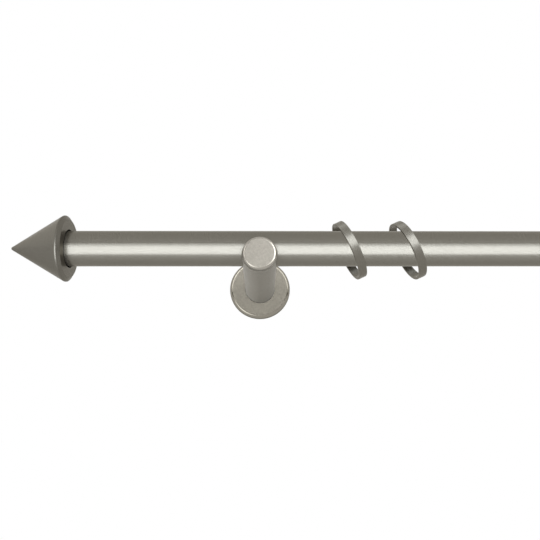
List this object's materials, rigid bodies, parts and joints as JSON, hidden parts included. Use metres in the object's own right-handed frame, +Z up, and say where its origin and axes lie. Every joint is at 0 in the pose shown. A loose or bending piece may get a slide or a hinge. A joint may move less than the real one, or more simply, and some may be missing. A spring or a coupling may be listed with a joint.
{
  "type": "curtain rod",
  "caption": "Straight round curtain rod in two open-saddle wall brackets, with cone finials pushed into its ends and plain flat rings that slide along it.",
  "frame": {"origin": "centre of the left bracket's wall face", "axes": "+X along the rod to the right, +Y into the wall, +Z up; the wall is the plane Y = 0"},
  "size_m": [0.8454, 0.0935, 0.0459],
  "materials": {
    "satin_nickel": "satin, warm grey nickel on turned metal",
    "zinc_disc": "bright zinc plate",
    "screw_steel": "dark oiled steel",
    "plug_plastic": "matte moulded"
  },
  "bodies": {
    "brackets": {"wall_disc_left": "zinc_disc", "stem_left": "satin_nickel", "stem_screw_left": "screw_steel", "clamp_screw_left": "screw_steel", "wall_disc_right": "zinc_disc", "stem_right": "satin_nickel", "stem_screw_right": "screw_steel", "clamp_screw_right": "screw_steel"},
    "rod": {"rod_tube": "satin_nickel"},
    "cover_left": {"cover_left": "satin_nickel"},
    "cap_left": {"cap_left": "satin_nickel"},
    "finial_left": {"finial_left": "satin_nickel", "finial_plug_left": "plug_plastic", "finial_screw_left": "screw_steel"},
    "cover_right": {"cover_right": "satin_nickel"},
    "cap_right": {"cap_right": "satin_nickel"},
    "finial_right": {"finial_right": "satin_nickel", "finial_plug_right": "plug_plastic", "finial_screw_right": "screw_steel"},
    "ring_1": {"ring_1": "satin_nickel"},
    "ring_2": {"ring_2": "satin_nickel"},
    "ring_3": {"ring_3": "satin_nickel"},
    "ring_4": {"ring_4": "satin_nickel"},
    "ring_5": {"ring_5": "satin_nickel"},
    "ring_6": {"ring_6": "satin_nickel"},
    "ring_7": {"ring_7": "satin_nickel"},
    "ring_8": {"ring_8": "satin_nickel"}
  },
  "joints": [
    {"name": "rod_lift", "type": "slide", "parent": "brackets", "child": "rod", "axis": [0, 0, 1], "range_m": [0, 0.03]},
    {"name": "cover_left_slide", "type": "slide", "parent": "brackets", "child": "cover_left", "axis": [0, -1, 0], "range_m": [0, 0.048]},
    {"name": "cap_left_pull", "type": "slide", "parent": "brackets", "child": "cap_left", "axis": [0, -1, 0], "range_m": [0, 0.01]},
    {"name": "finial_left_pull", "type": "slide", "parent": "rod", "child": "finial_left", "axis": [-1, 0, 0], "range_m": [0, 0.035]},
    {"name": "cover_right_slide", "type": "slide", "parent": "brackets", "child": "cover_right", "axis": [0, -1, 0], "range_m": [0, 0.048]},
    {"name": "cap_right_pull", "type": "slide", "parent": "brackets", "child": "cap_right", "axis": [0, -1, 0], "range_m": [0, 0.01]},
    {"name": "finial_right_pull", "type": "slide", "parent": "rod", "child": "finial_right", "axis": [1, 0, 0], "range_m": [0, 0.035]},
    {"name": "ring_1_slide", "type": "slide", "parent": "rod", "child": "ring_1", "axis": [1, 0, 0], "range_m": [-0.03, 0.0066]},
    {"name": "ring_2_slide", "type": "slide", "parent": "ring_1", "child": "ring_2", "axis": [1, 0, 0], "range_m": [-0.027, 0.0066]},
    {"name": "ring_3_slide", "type": "slide", "parent": "ring_2", "child": "ring_3", "axis": [1, 0, 0], "range_m": [-0.08, 0.0066]},
    {"name": "ring_4_slide", "type": "slide", "parent": "ring_3", "child": "ring_4", "axis": [1, 0, 0], "range_m": [-0.06, 0.0066]},
    {"name": "ring_5_slide", "type": "slide", "parent": "ring_4", "child": "ring_5", "axis": [1, 0, 0], "range_m": [-0.06, 0.0066]},
    {"name": "ring_6_slide", "type": "slide", "parent": "ring_5", "child": "ring_6", "axis": [1, 0, 0], "range_m": [-0.06, 0.0066]},
    {"name": "ring_7_slide", "type": "slide", "parent": "ring_6", "child": "ring_7", "axis": [1, 0, 0], "range_m": [-0.06, 0.0066]},
    {"name": "ring_8_slide", "type": "slide", "parent": "ring_7", "child": "ring_8", "axis": [1, 0, 0], "range_m": [-0.06, 0.0066]}
  ]
}
